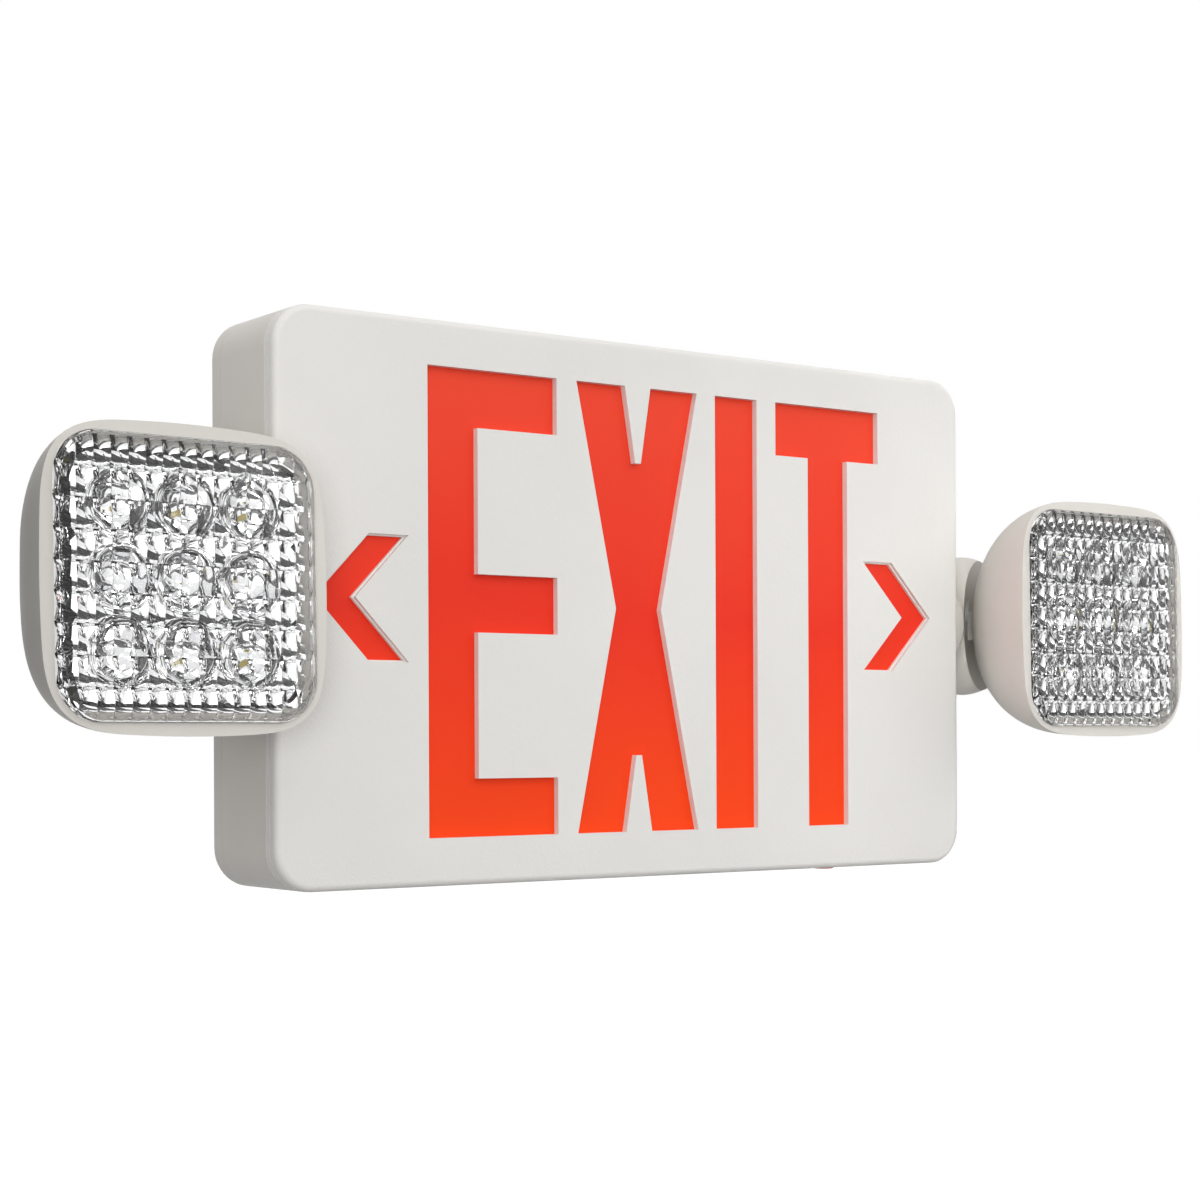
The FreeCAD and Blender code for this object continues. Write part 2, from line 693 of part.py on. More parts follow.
def make_pilot_light():
    low = -half_h - PILOT_PROUD
    z = switch_board_z()
    body = rod(PILOT_R, V(PILOT_X, ARM_Y, low), V(PILOT_X, ARM_Y, z))
    tip = level_edges(body, low, PILOT_R)
    return body.makeFillet(1.6, tip)


# ---------------------------------------------------------------- lamp arm, for the right side
def oval(x, half_y, half_z):
    """Upright ellipse across the arm."""
    if half_y > half_z:
        curve = Part.Ellipse(V(x, ARM_Y + half_y, 0), V(x, ARM_Y, half_z), V(x, ARM_Y, 0))
    else:
        curve = Part.Ellipse(V(x, ARM_Y, half_z), V(x, ARM_Y + half_y, 0), V(x, ARM_Y, 0))
    return Part.Wire(curve.toShape())


def arm_sections(inset):
    """Half sizes along the neck: a quick flare from the boss, then a slow taper."""
    start = half_w + BOSS_REACH + ARM_GAP
    sizes = ((0.0, 15.2, 15.4), (2.6, 18.3, 22.6), (7.6, 19.5, 26.2), (24.7, 18.9, 24.7),
             (36.0, 17.4, 21.6), (42.0, 14.5, 16.0), (44.5, 9.0, 9.6))
    return [(start + x, y - inset, z - inset) for x, y, z in sizes]


def cradle(grow):
    """Body of revolution just outside the space that the turning dome sweeps."""
    steps = 8
    middle = V(PIVOT_X + CRADLE_OUT, PIVOT_Y - CRADLE_AHEAD, 0)
    outline = []
    for i in range(-steps, steps + 1):
        angle = math.pi / 2 * i / steps
        power = 2 / CRADLE_POWER
        r = (CRADLE_R + grow) * math.cos(angle) ** power if abs(i) < steps else 0.0
        z = (CRADLE_HALF + grow) * math.copysign(abs(math.sin(angle)) ** power, i)
        outline.append(middle + V(r, 0, z))
    curve = Part.BSplineCurve()
    curve.interpolate(outline)
    axis = Part.makeLine(outline[-1], outline[0])
    face = Part.Face(Part.Wire([curve.toShape(), axis]))
    return face.revolve(middle, V(0, 0, 1), 360)


def stalk_point(reach):
    a = math.radians(STALK_ANGLE)
    return V(PIVOT_X - reach * math.sin(a), PIVOT_Y + reach * math.cos(a), 0)


def make_arm():
    outer = Part.makeLoft([oval(*s) for s in arm_sections(0)], True)
    inner = Part.makeLoft([oval(*s) for s in arm_sections(ARM_WALL)[1:-1]], True)
    web = box(half_w, PIVOT_X + 40, ARM_Y - 30, ARM_Y + 30, -7.5, 7.5)
    hollow = inner.cut(web.fuse(cradle(ARM_WALL)))
    neck = outer.cut(hollow).cut(cradle(0))
    start = half_w + BOSS_REACH + ARM_GAP
    inner_end = half_w - WALL - WASHER_THICK - CLIP_THICK - SPIGOT_TAIL - 0.2
    neck = neck.fuse(rod(SPIGOT_R, V(inner_end, ARM_Y, 0), V(start + 0.5, ARM_Y, 0)))
    foot = stalk_point(STALK_FOOT)
    way = stalk_point(0) - foot
    bar = box(0, way.Length, -STALK_WIDTH / 2, STALK_WIDTH / 2, -EYE_HALF, EYE_HALF)
    bar.rotate(V(0, 0, 0), V(0, 0, 1), math.degrees(math.atan2(way.y, way.x)))
    bar.translate(foot)
    pivot = V(PIVOT_X, PIVOT_Y, 0)
    neck = neck.fuse(bar)
    neck = neck.fuse(rod(EYE_R, pivot - V(0, 0, EYE_HALF), pivot + V(0, 0, EYE_HALF)))
    neck = neck.cut(rod(PIN_R + PIN_FIT, pivot - V(0, 0, EYE_HALF + 1), pivot + V(0, 0, EYE_HALF + 1)))
    groove_x = half_w - WALL - WASHER_THICK - 0.1
    groove = rod(SPIGOT_R + 1, V(groove_x - CLIP_THICK - 0.05, ARM_Y, 0), V(groove_x + 0.05, ARM_Y, 0))
    core = rod(SPIGOT_R - CLIP_GROOVE, V(groove_x - 5, ARM_Y, 0), V(groove_x + 5, ARM_Y, 0))
    groove = groove.cut(core)
    neck = neck.cut(groove)
    wire_end = start + 12
    neck = neck.cut(rod(WIRE_R, V(inner_end - 1, ARM_Y, 0), V(wire_end, ARM_Y, 0)))
    wire_exit = V(PIVOT_X - 16, ARM_Y - 8, 15)
    neck = neck.cut(rod(WIRE_EXIT_R, V(wire_end - 4, ARM_Y, 0), wire_exit))
    return neck.removeSplitter()


def make_friction_washer():
    x1 = half_w - WALL - 0.05
    x0 = x1 - WASHER_THICK
    washer = rod(WASHER_R, V(x0, ARM_Y, 0), V(x1, ARM_Y, 0))
    return washer.cut(rod(SPIGOT_R + 0.2, V(x0 - 1, ARM_Y, 0), V(x1 + 1, ARM_Y, 0)))


def make_arm_clip():
    """Open retaining ring snapped into the spigot's groove."""
    x1 = half_w - WALL - WASHER_THICK - 0.1
    x0 = x1 - CLIP_THICK
    clip = rod(CLIP_R, V(x0, ARM_Y, 0), V(x1, ARM_Y, 0))
    clip = clip.cut(rod(SPIGOT_R - CLIP_GROOVE + 0.05, V(x0 - 1, ARM_Y, 0), V(x1 + 1, ARM_Y, 0)))
    mouth = box(x0 - 1, x1 + 1, ARM_Y - 4.5, ARM_Y + 4.5, -CLIP_R - 1, 0)
    return clip.cut(mouth)


# ---------------------------------------------------------------- lamp head, pivot at the origin
def dome_scale(y):
    t = (y - LENS_Y) / DOME_LENGTH
    return (1 - t * t) ** 0.625


def dome_section(y, inset):
    """Rounded square near the rim that turns into a circle at the dome's tip."""
    t = (y - RIM_Y) / (DOME_LENGTH + LENS_Y - RIM_Y)
    power = 4.6 - 2.6 * max(0.0, t)
    a = HEAD_HALF_W * dome_scale(y) - inset
    b = HEAD_HALF_H * dome_scale(y) - inset
    points = []
    count = 24
    for i in range(count):
        angle = 2 * math.pi * (i + 0.5) / count
        c = math.cos(angle)
        s = math.sin(angle)
        x = a * math.copysign(abs(c) ** (2 / power), c)
        z = b * math.copysign(abs(s) ** (2 / power), s)
        points.append(V(x, y, z))
    curve = Part.BSplineCurve()
    curve.interpolate(points, True)
    return Part.Wire(curve.toShape())


def dome_body(inset, first, last):
    between = [y for y in DOME_STATIONS if first < y < last - 1]
    stations = [first] + between + [last]
    return Part.makeLoft([dome_section(y, inset) for y in stations], True)


def head_posts():
    return [(sx * POST_X, sz * POST_Z) for sx in (-1, 1) for sz in (-1, 1)]


def bracket_back():
    return HEAD_BOARD_FRONT + BOARD_THICK + BRACKET_THICK


def make_head_shell():
    outer = dome_body(0, RIM_Y, DOME_FLAT)
    ledge_front = RIM_Y + POCKET_DEPTH
    cavity = dome_body(HEAD_WALL, ledge_front + LEDGE, DOME_FLAT - HEAD_WALL)
    body = outer.cut(cavity)
    pocket_w = LENS_W + 2 * LENS_FIT
    pocket_h = LENS_H + 2 * LENS_FIT
    pocket = slab(pocket_w, pocket_h, LENS_CORNER + LENS_FIT, RIM_Y - 1, ledge_front)
    body = body.cut(pocket)
    body = body.cut(slab(WINDOW_W, WINDOW_H, LENS_CORNER - 2, ledge_front - 1, ledge_front + LEDGE + 1))
    for x, z in head_posts():
        post = rod(POST_R, V(x, bracket_back(), z), V(x, DOME_FLAT, z))
        body = body.fuse(post.common(outer))
        body = body.cut(rod(SCREW_R, V(x, bracket_back() - 1, z), V(x, bracket_back() + 7, z)))
    low = STALK_ANGLE - SWING_OUT - 10.5
    high = STALK_ANGLE + SWING_IN + 10.5
    slot_half = EYE_HALF + 1.0
    slot = Part.makeCylinder(50, 2 * slot_half, V(0, 0, -slot_half), V(0, 0, 1), high - low)
    slot = slot.cut(Part.makeCylinder(12, 2 * slot_half + 2, V(0, 0, -slot_half - 1)))
    slot.rotate(V(0, 0, 0), V(0, 0, 1), 90 + low)
    return body.cut(slot).removeSplitter()


def make_lens():
    back = LENS_Y + LENS_PLATE
    seat = RIM_Y + POCKET_DEPTH
    body = slab(LENS_W, LENS_H, LENS_CORNER, LENS_Y, seat)
    body = body.makeFillet(LENS_EDGE, edges_at(body, LENS_Y))
    w = LENS_W - 2 * LENS_SKIRT
    h = LENS_H - 2 * LENS_SKIRT
    flute_back = back + ROW_DEPTH + FLUTE_DEPTH
    body = body.cut(slab(w, h, LENS_CORNER - LENS_SKIRT, flute_back, seat + 1))
    row = h / ROW_COUNT
    teeth = [(flute_back + 1, -h / 2)]
    for i in range(ROW_COUNT):
        z0 = -h / 2 + i * row
        teeth.append((back + FLUTE_DEPTH, z0 + 0.01))
        teeth.append((flute_back, z0 + row * 0.72))
        teeth.append((flute_back, z0 + row - 0.01))
    teeth += [(flute_back + 1, h / 2)]
    corners = [V(-w / 2 - 5, y, z) for y, z in teeth]
    rows = Part.Face(Part.makePolygon(corners + corners[:1])).extrude(V(w + 10, 0, 0))
    inside = slab(w, h, LENS_CORNER - LENS_SKIRT, back, flute_back + 2)
    body = body.cut(rows.common(inside))
    flute = w / FLUTE_COUNT
    for i in range(FLUTE_COUNT - 1):
        x = -w / 2 + (i + 1) * flute
        groove = [V(x - flute * 0.3, flute_back + 0.01, -h / 2),
                  V(x, back, -h / 2),
                  V(x + flute * 0.3, flute_back + 0.01, -h / 2)]
        cutter = Part.Face(Part.makePolygon(groove + groove[:1])).extrude(V(0, 0, h))
        body = body.cut(cutter.common(inside))
    return body


def make_optics():
    """Nine solid collimators moulded on one clear web."""
    rear = HEAD_BOARD_FRONT - HEAD_LED_HIGH
    web_back = OPTIC_FRONT_Y + OPTIC_WEB
    side = 3 * OPTIC_PITCH + 2
    body = slab(side, side, 4.0, OPTIC_FRONT_Y, web_back)
    for i in (-1, 0, 1):
        for k in (-1, 0, 1):
            start = V(i * OPTIC_PITCH, web_back - 0.2, k * OPTIC_PITCH)
            cone = Part.makeCone(OPTIC_FRONT_R, OPTIC_REAR_R, rear - web_back + 0.2, start, V(0, 1, 0))
            body = body.fuse(cone)
    return body.removeSplitter()


def make_head_leds():
    leds = []
    for i in (-1, 0, 1):
        for k in (-1, 0, 1):
            x = i * OPTIC_PITCH
            z = k * OPTIC_PITCH
            front = HEAD_BOARD_FRONT - HEAD_LED_HIGH
            leds.append(block(x, z, HEAD_LED, HEAD_LED, front, HEAD_BOARD_FRONT))
    return Part.makeCompound(leds)


def make_reflector():
    """Bright frame between the lens and the board, with a floor round the collimators."""
    seat = RIM_Y + POCKET_DEPTH
    top_w = WINDOW_W - 0.6
    top_h = WINDOW_H - 0.6
    floor_back = HEAD_BOARD_FRONT - SCREW_HEAD - 0.2
    floor_w = HEAD_BOARD_W
    floor_h = HEAD_BOARD_H
    thick = 0.8

    def funnel(inset, y0, y1):
        wide = slab(top_w - 2 * inset, top_h - 2 * inset, LENS_CORNER - 3, y0, y0 + 0.1)
        tight = slab(floor_w - 2 * inset, floor_h - 2 * inset, LENS_CORNER - 3, y1 - 0.1, y1)
        first = [f for f in wide.Faces if abs(f.BoundBox.YMax - y0) < 0.01][0]
        last = [f for f in tight.Faces if abs(f.BoundBox.YMin - y1) < 0.01][0]
        return Part.makeLoft([first.OuterWire, last.OuterWire], True, True)

    body = funnel(0, seat - 0.8, floor_back)
    body = body.cut(funnel(thick, seat - 0.8 - 0.001, floor_back - thick))
    flange = slab(WINDOW_W + 1.4, WINDOW_H + 1.4, LENS_CORNER - 2, seat - 0.8, seat)
    flange = flange.cut(slab(top_w - 1.4, top_h - 1.4, LENS_CORNER - 3, seat - 2, seat + 1))
    body = body.fuse(flange)
    y = floor_back - thick
    reach = (y - OPTIC_FRONT_Y) / (HEAD_BOARD_FRONT - HEAD_LED_HIGH - OPTIC_FRONT_Y)
    hole = OPTIC_FRONT_R + (OPTIC_REAR_R - OPTIC_FRONT_R) * reach + 0.6
    for i in (-1, 0, 1):
        for k in (-1, 0, 1):
            x = i * OPTIC_PITCH
            z = k * OPTIC_PITCH
            body = body.cut(rod(hole, V(x, floor_back - thick - 1, z), V(x, floor_back + 1, z)))
    return body.removeSplitter()


def make_head_board():
    body = slab(HEAD_BOARD_W, HEAD_BOARD_H, 5.0, HEAD_BOARD_FRONT, HEAD_BOARD_FRONT + BOARD_THICK)
    for x, z in head_posts():
        front = V(x, HEAD_BOARD_FRONT - 1, z)
        back = V(x, HEAD_BOARD_FRONT + BOARD_THICK + 1, z)
        body = body.cut(rod(SCREW_R + 0.3, front, back))
    return body


def make_pivot_bracket():
    """Folded plate behind the board, with two ears that hold the swivel pin."""
    front = HEAD_BOARD_FRONT + BOARD_THICK
    back = bracket_back()
    body = slab(2 * POST_X + 9, 2 * POST_Z + 9, 4.0, front, back)
    for sz in (-1, 1):
        inner = sz * (EYE_HALF + 0.3)
        outer = inner + sz * 1.6
        ear = box(-7, 7, front, 0, min(inner, outer), max(inner, outer))
        low = min(inner, outer)
        nose = Part.makeCylinder(7, 1.6, V(0, 0, low))
        body = body.fuse(ear).fuse(nose)
        body = body.cut(Part.makeCylinder(PIN_R, 1.6 + 2, V(0, 0, low - 1)))
    for x, z in head_posts():
        body = body.cut(rod(SCREW_R + 0.3, V(x, front - 1, z), V(x, back + 1, z)))
    return body.removeSplitter()


def make_pivot_pin():
    """Shoulder rivet through the bracket's ears and the arm's eye."""
    half = EYE_HALF + 0.3 + 1.6
    pin = Part.makeCylinder(PIN_R, 2 * half, V(0, 0, -half))
    head = Part.makeCylinder(4.4, 1.8, V(0, 0, half))
    nut = Part.makeCylinder(3.8, 1.4, V(0, 0, -half - 1.4))
    return pin.fuse([head, nut]).removeSplitter()


def make_head_screws():
    return Part.makeCompound([screw(x, z, HEAD_BOARD_FRONT, 8.6) for x, z in head_posts()])


# ---------------------------------------------------------------- placing the two lamps
def mirrored(shape):
    return shape.mirror(V(0, 0, 0), V(1, 0, 0))


def tilt(shape, angle):
    out = shape.copy()
    out.rotate(V(0, ARM_Y, 0), V(1, 0, 0), angle)
    return out


def place_arm_piece(shape, side, tilt_angle):
    out = shape if side > 0 else mirrored(shape)
    return tilt(out, tilt_angle)


def place_head_piece(shape, side, turn_angle, tilt_angle):
    out = shape if side > 0 else mirrored(shape)
    out = out.copy()
    out.rotate(V(0, 0, 0), V(0, 0, 1), turn_angle)
    out.translate(V(side * PIVOT_X, PIVOT_Y, 0))
    return tilt(out, tilt_angle)


def add(name, shape):
    nodes[name] = shape


def build():
    add("back_plate", make_back_plate())
    add("housing_frame", make_housing_frame())
    add("front_cover", make_front_cover())
    add("legend_panel", make_legend_panel())
    add("reflector_tray", make_reflector_tray())
    add("led_strip_top", make_led_strip(1))
    add("led_strip_bottom", make_led_strip(-1))
    add("strip_leds", make_strip_leds())
    add("charger_board", make_charger_board())
    add("capacitors", make_capacitors())
    add("relay", make_relay())
    add("heat_sink", make_heat_sink())
    add("terminal_block", make_terminal_block())
    add("lead_sockets", make_lead_sockets())
    add("transformer_core", make_transformer())
    add("transformer_winding", make_bobbin())
    add("transformer_strap", make_transformer_strap())
    add("battery_pack", make_battery_pack())
    add("battery_strap", make_battery_strap())
    add("inner_screws", make_board_screws())
    add("tray_screws", make_tray_screws())
    add("switch_board", make_switch_board())
    add("test_switch", make_test_switch())
    add("test_button", make_test_button())
    add("pilot_light", make_pilot_light())
    arm_pieces = {
        "arm": make_arm(),
        "friction_washer": make_friction_washer(),
        "arm_clip": make_arm_clip(),
    }
    head_pieces = {
        "head_shell": make_head_shell(),
        "lens": make_lens(),
        "optics": make_optics(),
        "reflector": make_reflector(),
        "head_board": make_head_board(),
        "head_leds": make_head_leds(),
        "pivot_bracket": make_pivot_bracket(),
        "pivot_pin": make_pivot_pin(),
        "head_screws": make_head_screws(),
    }
    heads = (("left", -1, LEFT_TURN, LEFT_TILT), ("right", 1, RIGHT_TURN, RIGHT_TILT))
    for name, side, turn_angle, tilt_angle in heads:
        for piece, shape in arm_pieces.items():
            add(f"{name}_{piece}", place_arm_piece(shape, side, tilt_angle))
        for piece, shape in head_pieces.items():
            add(f"{name}_{piece}", place_head_piece(shape, side, turn_angle, tilt_angle))


build()
os.makedirs("parts", exist_ok=True)
for name, shape in nodes.items():
    shape.exportStep(f"parts/{name}.step")
    print(f"{name}: {len(shape.Solids)} solids, {shape.Volume / 1000:.2f} cm3, valid {shape.isValid()}")
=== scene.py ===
import json
import math

import bmesh
import bpy
from mathutils import Matrix, Vector


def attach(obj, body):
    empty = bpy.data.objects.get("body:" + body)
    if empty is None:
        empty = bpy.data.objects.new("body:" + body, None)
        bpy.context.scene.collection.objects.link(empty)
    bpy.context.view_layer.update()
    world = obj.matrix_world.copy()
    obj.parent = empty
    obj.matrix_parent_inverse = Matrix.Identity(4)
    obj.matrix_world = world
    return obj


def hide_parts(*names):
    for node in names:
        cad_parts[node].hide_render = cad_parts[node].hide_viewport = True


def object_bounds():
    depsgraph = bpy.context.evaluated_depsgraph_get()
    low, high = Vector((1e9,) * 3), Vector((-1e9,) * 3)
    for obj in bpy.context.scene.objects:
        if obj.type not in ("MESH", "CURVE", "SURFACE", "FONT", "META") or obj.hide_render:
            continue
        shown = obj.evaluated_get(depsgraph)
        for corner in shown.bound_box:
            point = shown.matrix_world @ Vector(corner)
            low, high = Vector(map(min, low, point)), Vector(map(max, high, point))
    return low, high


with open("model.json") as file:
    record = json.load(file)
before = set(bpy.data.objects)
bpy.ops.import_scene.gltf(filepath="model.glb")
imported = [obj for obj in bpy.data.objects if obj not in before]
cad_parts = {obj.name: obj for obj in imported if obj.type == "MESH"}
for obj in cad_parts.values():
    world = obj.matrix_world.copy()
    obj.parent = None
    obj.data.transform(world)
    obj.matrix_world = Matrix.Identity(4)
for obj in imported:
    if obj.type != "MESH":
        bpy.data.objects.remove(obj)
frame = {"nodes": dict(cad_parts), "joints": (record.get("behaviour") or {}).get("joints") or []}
cad_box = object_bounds()
MM = 0.001


# ---------------------------------------------------------------- materials
class Nodes:
    """A material's node tree, with the few calls that the materials below share."""

    def __init__(self, name):
        self.material = bpy.data.materials.new(name)
        self.material.use_nodes = True
        self.tree = self.material.node_tree
        self.shader = self.tree.nodes["Principled BSDF"]
        self.place = self.add("ShaderNodeTexCoord").outputs["Object"]

    def add(self, kind, **values):
        node = self.tree.nodes.new(kind)
        for key, value in values.items():
            setattr(node, key, value)
        return node

    def link(self, source, target):
        self.tree.links.new(source, target)

    def noise(self, scale, detail):
        node = self.add("ShaderNodeTexNoise")
        node.inputs["Scale"].default_value = scale
        node.inputs["Detail"].default_value = detail
        self.link(self.place, node.inputs["Vector"])
        return node.outputs["Fac"]

    def cells(self, scale):
        node = self.add("ShaderNodeTexVoronoi", feature="SMOOTH_F1")
        node.inputs["Scale"].default_value = scale
        node.inputs["Smoothness"].default_value = 0.6
        self.link(self.place, node.inputs["Vector"])
        return node.outputs["Distance"]

    def ramp(self, fac, stops):
        node = self.add("ShaderNodeValToRGB")
        first, last = node.color_ramp.elements
        first.position, first.color = stops[0][0], (*stops[0][1], 1)
        last.position, last.color = stops[-1][0], (*stops[-1][1], 1)
        for position, color in stops[1:-1]:
            node.color_ramp.elements.new(position).color = (*color, 1)
        self.link(fac, node.inputs["Fac"])
        return node.outputs["Color"]

    def spread(self, fac, low, high):
        node = self.add("ShaderNodeMapRange")
        node.inputs["To Min"].default_value = low
        node.inputs["To Max"].default_value = high
        self.link(fac, node.inputs["Value"])
        return node.outputs["Result"]

    def color(self, fac, low, high):
        self.link(self.ramp(fac, ((0.3, low), (0.7, high))), self.shader.inputs["Base Color"])

    def rough(self, fac, low, high):
        self.link(self.spread(fac, low, high), self.shader.inputs["Roughness"])

    def bump(self, height, depth, under=None):
        node = self.add("ShaderNodeBump")
        node.inputs["Distance"].default_value = depth
        self.link(height, node.inputs["Height"])
        if under:
            self.link(under, node.inputs["Normal"])
        self.link(node.outputs["Normal"], self.shader.inputs["Normal"])
        return node.outputs["Normal"]


def srgb(r, g, b):
    """Linear colour from 8-bit sRGB."""
    def one(v):
        v /= 255
        return v / 12.92 if v <= 0.04045 else ((v + 0.055) / 1.055) ** 2.4
    return one(r), one(g), one(b)


def moulded(name, low, high, grain, depth, rough=(0.45, 0.6)):
    """Moulded plastic with a leather grain of the given pitch."""
    m = Nodes(name)
    m.color(m.noise(14, 3), low, high)
    m.rough(m.noise(60, 5), *rough)
    skin = m.bump(m.cells(1 / grain), depth)
    m.bump(m.noise(0.45 / grain, 3), depth * 1.5, under=skin)
    return m.material


def metal(name, low, high, rough, scale):
    """Bare metal with a fine grain; scale is its noise texture's."""
    m = Nodes(name)
    m.color(m.noise(scale / 20, 4), low, high)
    m.shader.inputs["Metallic"].default_value = 1
    m.rough(m.noise(scale, 5), *rough)
    m.bump(m.noise(scale, 4), 0.02 * MM)
    return m.material


# Reds up the sheet's height: the brighter orange low down is painted light and the darker middle is
# painted shade.
RED_LIT_AND_SHADED_TONES = ((0.1, (0.96, 0.058, 0.004)), (0.5, (0.84, 0.032, 0.012)), (0.9, (0.88, 0.060, 0.024)))
WAVE_PERIOD = 0.314           # metres between the bands of a wave texture of scale 1
CLEAR_IOR = 1.49


def legend_red():
    """Translucent red sheet with a faint random cloud of tone, painted brighter towards the bottom and
    darker through the middle as light and shade.
    """
    m = Nodes("legend_red")
    parts = m.add("ShaderNodeSeparateXYZ")
    m.link(m.place, parts.inputs["Vector"])
    height = m.add("ShaderNodeMapRange")
    height.inputs["From Min"].default_value = cad_box[0][2]
    height.inputs["From Max"].default_value = cad_box[1][2]
    m.link(parts.outputs["Z"], height.inputs["Value"])
    cloud = m.spread(m.noise(16, 2), -0.12, 0.12)
    both = m.add("ShaderNodeMath", operation="ADD")
    m.link(height.outputs["Result"], both.inputs[0])
    m.link(cloud, both.inputs[1])
    # Painted light and shade by height, plus the random cloud of tone.
    m.link(m.ramp(both.outputs[0], RED_LIT_AND_SHADED_TONES), m.shader.inputs["Base Color"])
    m.rough(m.noise(120, 4), 0.42, 0.55)
    m.bump(m.noise(500, 3), 0.02 * MM)
    m.shader.inputs["Specular IOR Level"].default_value = 0.2
    return m.material


def gloss(name, low, high, scale, depth, rough):
    """Painted or sleeved surface with a slow ripple."""
    m = Nodes(name)
    m.color(m.noise(scale, 3), low, high)
    m.rough(m.noise(scale * 3, 4), *rough)
    m.bump(m.noise(scale, 3), depth)
    return m.material


def layered(name, low, high, pitch, axis, metallic, rough):
    """Stacked laminations, extrusion lines or taped turns, at the given pitch along one axis."""
    m = Nodes(name)
    bands = m.add("ShaderNodeTexWave", bands_direction=axis, wave_profile="SAW")
    bands.inputs["Scale"].default_value = WAVE_PERIOD / pitch
    bands.inputs["Distortion"].default_value = 0.4
    m.link(m.place, bands.inputs["Vector"])
    m.color(bands.outputs["Fac"], low, high)
    m.shader.inputs["Metallic"].default_value = metallic
    m.rough(m.noise(400, 4), *rough)
    m.bump(bands.outputs["Fac"], pitch / 8)
    return m.material


def board(name, mask, track):
    """Solder mask over a maze of tracks."""
    m = Nodes(name)
    paths = m.add("ShaderNodeTexVoronoi", distance="MANHATTAN", feature="F1")
    paths.inputs["Scale"].default_value = 260
    m.link(m.place, paths.inputs["Vector"])
    m.link(m.ramp(paths.outputs["Distance"], ((0.42, mask), (0.5, track))), m.shader.inputs["Base Color"])
    m.rough(m.noise(200, 3), 0.3, 0.42)
    m.bump(paths.outputs["Distance"], 0.03 * MM)
    return m.material


def clear_plastic(name, tint, rough):
    """Clear moulding with a faint ripple."""
    m = Nodes(name)
    m.shader.inputs["Base Color"].default_value = (*tint, 1)
    m.shader.inputs["Transmission Weight"].default_value = 1.0
    m.shader.inputs["IOR"].default_value = CLEAR_IOR
    m.rough(m.noise(300, 3), *rough)
    m.bump(m.noise(220, 2), 0.01 * MM)
    return m.material


FINISHES = {
    "housing_plastic": moulded(
        "housing_plastic", srgb(214, 210, 203), srgb(221, 217, 211), 0.6 * MM, 0.02 * MM),
    "cover_plastic": moulded(
        "cover_plastic", srgb(226, 224, 220), srgb(231, 229, 225), 0.7 * MM, 0.045 * MM),
    "legend_red": legend_red(),
    "white_enamel": gloss(
        "white_enamel", srgb(236, 236, 234), srgb(243, 243, 241), 160, 0.05 * MM, (0.2, 0.32)),
    "circuit_board": board("circuit_board", (0.010, 0.085, 0.030), (0.030, 0.19, 0.075)),
    "led": gloss("led_phosphor", (0.80, 0.62, 0.12), (0.88, 0.72, 0.20), 900, 0.03 * MM, (0.3, 0.5)),
    "component_black": moulded(
        "component_black", (0.012, 0.012, 0.013), (0.02, 0.02, 0.021), 0.6 * MM, 0.02 * MM, (0.3, 0.45)),
    "aluminium": layered(
        "aluminium", (0.60, 0.60, 0.61), (0.72, 0.72, 0.73), 0.5 * MM, "Z", 1, (0.3, 0.45)),
    "terminal_plastic": moulded(
        "terminal_plastic", (0.012, 0.11, 0.030), (0.018, 0.15, 0.042), 0.6 * MM, 0.02 * MM),
    "socket_white": moulded(
        "socket_white", srgb(226, 222, 208), srgb(234, 231, 219), 0.5 * MM, 0.01 * MM, (0.3, 0.45)),
    "core_steel": layered(
        "core_steel", (0.10, 0.10, 0.11), (0.20, 0.19, 0.19), 0.5 * MM, "Y", 0.8, (0.35, 0.5)),
    "steel": metal("zinc_steel", (0.52, 0.52, 0.53), (0.62, 0.62, 0.64), (0.25, 0.42), 900),
    "winding_tape": layered(
        "winding_tape", (0.62, 0.42, 0.03), (0.74, 0.52, 0.06), 6 * MM, "X", 0, (0.25, 0.4)),
    "battery_wrap": gloss(
        "battery_sleeve", (0.010, 0.050, 0.24), (0.020, 0.075, 0.32), 110, 0.12 * MM, (0.15, 0.3)),
    "button_plastic": moulded(
        "button_plastic", (0.50, 0.016, 0.012), (0.60, 0.024, 0.018), 0.4 * MM, 0.01 * MM, (0.3, 0.42)),
    "pilot_lens": clear_plastic("pilot_green", (0.10, 0.62, 0.16), (0.02, 0.08)),
    "washer_nylon": moulded(
        "washer_nylon", srgb(222, 221, 212), srgb(230, 229, 221), 0.4 * MM, 0.01 * MM, (0.35, 0.5)),
    "clear_lens": clear_plastic("lens_clear", (1.0, 1.0, 1.0), (0.0, 0.02)),
    "clear_optic": clear_plastic("optic_clear", (0.99, 0.995, 1.0), (0.0, 0.02)),
    "bright_reflector": metal(
        "bright_reflector", (0.93, 0.93, 0.935), (0.96, 0.96, 0.965), (0.02, 0.07), 200),
}
white_board = board("white_board", srgb(232, 232, 228), srgb(240, 240, 237))
for name, node in frame["nodes"].items():
    for slot in node.material_slots:
        slot.material = white_board if name.endswith("head_board") else FINISHES[slot.material.name]


# ---------------------------------------------------------------- lamp heads
SHARP = math.radians(28)      # edges turning more than this stay crisp

LENS_PLATE = 2.0 * MM         # clear plate in front of the flutes
LENS_SKIRT = 1.05 * MM        # width of the lens's rim
LENS_EDGE = 1.05 * MM         # rounding of its front edge
EDGE_STEPS = 4
LENS_RIM = 5.2 * MM           # depth of the rim
LENS_CORNER = 13.5 * MM
FLUTES = 15
FLUTE_STEPS = 6
FLUTE_DEPTH = 0.55 * MM
ROWS = 9
ROW_DEPTH = 2.3 * MM
NICK = 0.002                  # half the gap between flutes, as a share of one
WELD = 0.004 * MM

